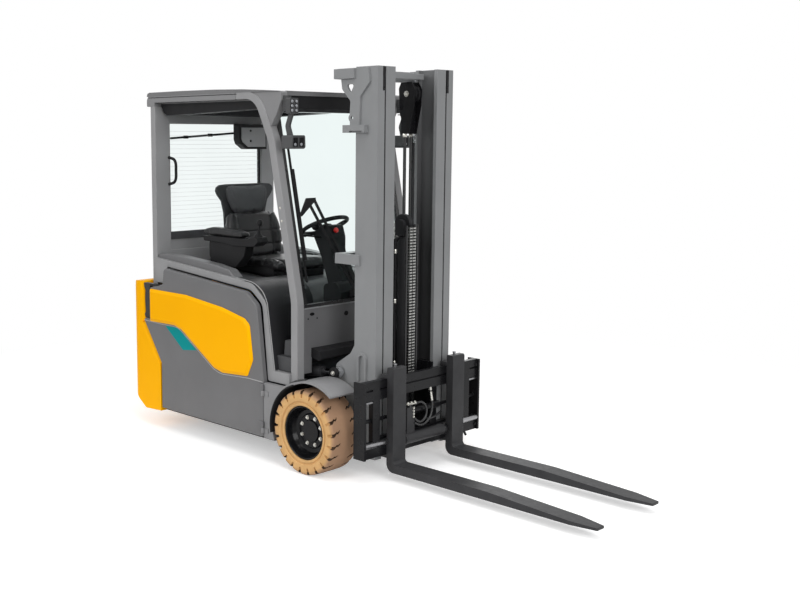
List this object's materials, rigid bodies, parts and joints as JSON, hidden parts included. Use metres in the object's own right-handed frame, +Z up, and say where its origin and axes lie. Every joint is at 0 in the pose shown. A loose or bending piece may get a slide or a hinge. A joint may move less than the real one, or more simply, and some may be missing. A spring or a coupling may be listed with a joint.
{
  "type": "forklift",
  "caption": "Three-wheel electric forklift truck with a hollow cab, a two-stage mast, side shifted forks and hinged battery doors.",
  "frame": {"origin": "floor point below the middle of the front axle, which is the middle of the box's bottom", "axes": "+X to the operator's left, -Y forward along the forks, +Z up"},
  "size_m": [1.12, 3.212, 2.15],
  "materials": {
    "grey_paint": "satin",
    "mast_paint": "satin",
    "yellow_paint": "satin",
    "black_paint": "satin",
    "dark_steel": "satin",
    "tyre_tan": "satin",
    "dark_plastic": "satin",
    "grey_plastic": "satin",
    "seat_leather": "satin",
    "glass_pane": "satin",
    "rod_chrome": "satin",
    "chain_steel": "satin",
    "hose_rubber": "satin",
    "battery_case": "satin"
  },
  "bodies": {
    "chassis": {"chassis_frame": "dark_steel", "drive_axle": "dark_steel", "counterweight": "yellow_paint", "battery": "battery_case", "seat_hood": "grey_plastic", "body_rims": "grey_paint", "front_cowl": "grey_paint", "floor_plate": "dark_plastic", "front_ledge": "dark_plastic", "mudguards": "grey_paint", "wheel_liners": "dark_plastic", "front_pillars": "grey_paint", "rear_pillars": "grey_paint", "roof_frame": "grey_paint", "roof_liner": "dark_plastic", "roof_panel": "glass_pane", "windscreen": "glass_pane", "rear_window": "glass_pane", "seat_base": "dark_plastic", "seat_cushion": "seat_leather", "seat_back": "seat_leather", "armrest": "dark_plastic", "steering_column": "dark_plastic", "steering_wheel": "dark_plastic", "headlamps": "dark_plastic", "wipers": "dark_plastic"},
    "wheel_front_right": {"rim_right": "black_paint", "tyre_right": "tyre_tan"},
    "wheel_front_left": {"rim_left": "black_paint", "tyre_left": "tyre_tan"},
    "steer": {"steer_bracket": "dark_steel"},
    "rear_wheels": {"rear_rims": "black_paint", "rear_tyres": "tyre_tan"},
    "door_right_body": {"door_right": "grey_paint", "door_insert_right": "yellow_paint"},
    "door_left_body": {"door_left": "grey_paint", "door_insert_left": "yellow_paint"},
    "mast_outer": {"outer_rails": "mast_paint", "outer_crossbars": "mast_paint", "lift_barrels": "dark_steel"},
    "mast_inner": {"inner_rails": "mast_paint", "inner_crossbars": "mast_paint", "lift_rods": "rod_chrome", "mast_hoses": "hose_rubber", "free_lift_barrel": "dark_steel", "chain_back": "chain_steel"},
    "lift_head": {"free_lift_rod": "dark_steel"},
    "lift_carriage": {"carriage": "black_paint", "lift_chain": "chain_steel"},
    "shift_carrier": {"fork_carrier": "black_paint", "fork_right": "black_paint", "fork_left": "black_paint"},
    "tilt_barrel_pair": {"tilt_barrels": "dark_steel"},
    "tilt_rod_pair": {"tilt_rods": "rod_chrome"}
  },
  "joints": [
    {"name": "front_right_spin", "type": "hinge", "parent": "chassis", "child": "wheel_front_right", "pos_m": [-0.46, 0, 0.2285], "axis": [1, 0, 0], "continuous": true},
    {"name": "front_left_spin", "type": "hinge", "parent": "chassis", "child": "wheel_front_left", "pos_m": [0.46, 0, 0.2285], "axis": [1, 0, 0], "continuous": true},
    {"name": "rear_steer", "type": "hinge", "parent": "chassis", "child": "steer", "pos_m": [0, 1.33, 0.42], "axis": [0, 0, 1], "range_deg": [-90, 90]},
    {"name": "rear_spin", "type": "hinge", "parent": "steer", "child": "rear_wheels", "pos_m": [0, 1.33, 0.1915], "axis": [1, 0, 0], "continuous": true},
    {"name": "right_door", "type": "hinge", "parent": "chassis", "child": "door_right_body", "pos_m": [-0.544, 0.337, 0.56], "axis": [0, 0, 1], "range_deg": [0, 95]},
    {"name": "left_door", "type": "hinge", "parent": "chassis", "child": "door_left_body", "pos_m": [0.544, 0.337, 0.56], "axis": [0, 0, -1], "range_deg": [0, 95]},
    {"name": "mast_tilt", "type": "hinge", "parent": "chassis", "child": "mast_outer", "pos_m": [0, 0, 0.2285], "axis": [1, 0, 0], "range_deg": [-6, 7]},
    {"name": "mast_lift", "type": "slide", "parent": "mast_outer", "child": "mast_inner", "axis": [0, 0, 1], "range_m": [0, 1.495]},
    {"name": "free_lift", "type": "slide", "parent": "mast_inner", "child": "lift_carriage", "axis": [0, 0, 1], "range_m": [0, 1.405], "deforming": ["lift_chain", "chain_back"]},
    {"name": "head_lift", "type": "slide", "parent": "mast_inner", "child": "lift_head", "axis": [0, 0, 1], "range_m": [0, 0.7025]},
    {"name": "side_shift", "type": "slide", "parent": "lift_carriage", "child": "shift_carrier", "axis": [1, 0, 0], "range_m": [-0.1, 0.1]},
    {"name": "tilt_barrel_turn", "type": "hinge", "parent": "chassis", "child": "tilt_barrel_pair", "pos_m": [0, 0.29, 0.5], "axis": [1, 0, 0], "range_deg": [-1.14, 1.32]},
    {"name": "tilt_rod_slide", "type": "slide", "parent": "tilt_barrel_pair", "child": "tilt_rod_pair", "axis": [0, -0.996, 0.0897], "range_m": [-0.0315, 0.0367]}
  ],
  "couplings": [
    {"joint": "head_lift", "follows": "free_lift", "ratio": 0.5},
    {"joint": "tilt_barrel_turn", "follows": "mast_tilt", "ratio": 0.18195},
    {"joint": "tilt_rod_slide", "follows": "mast_tilt", "m_per_rad": 0.29642}
  ]
}
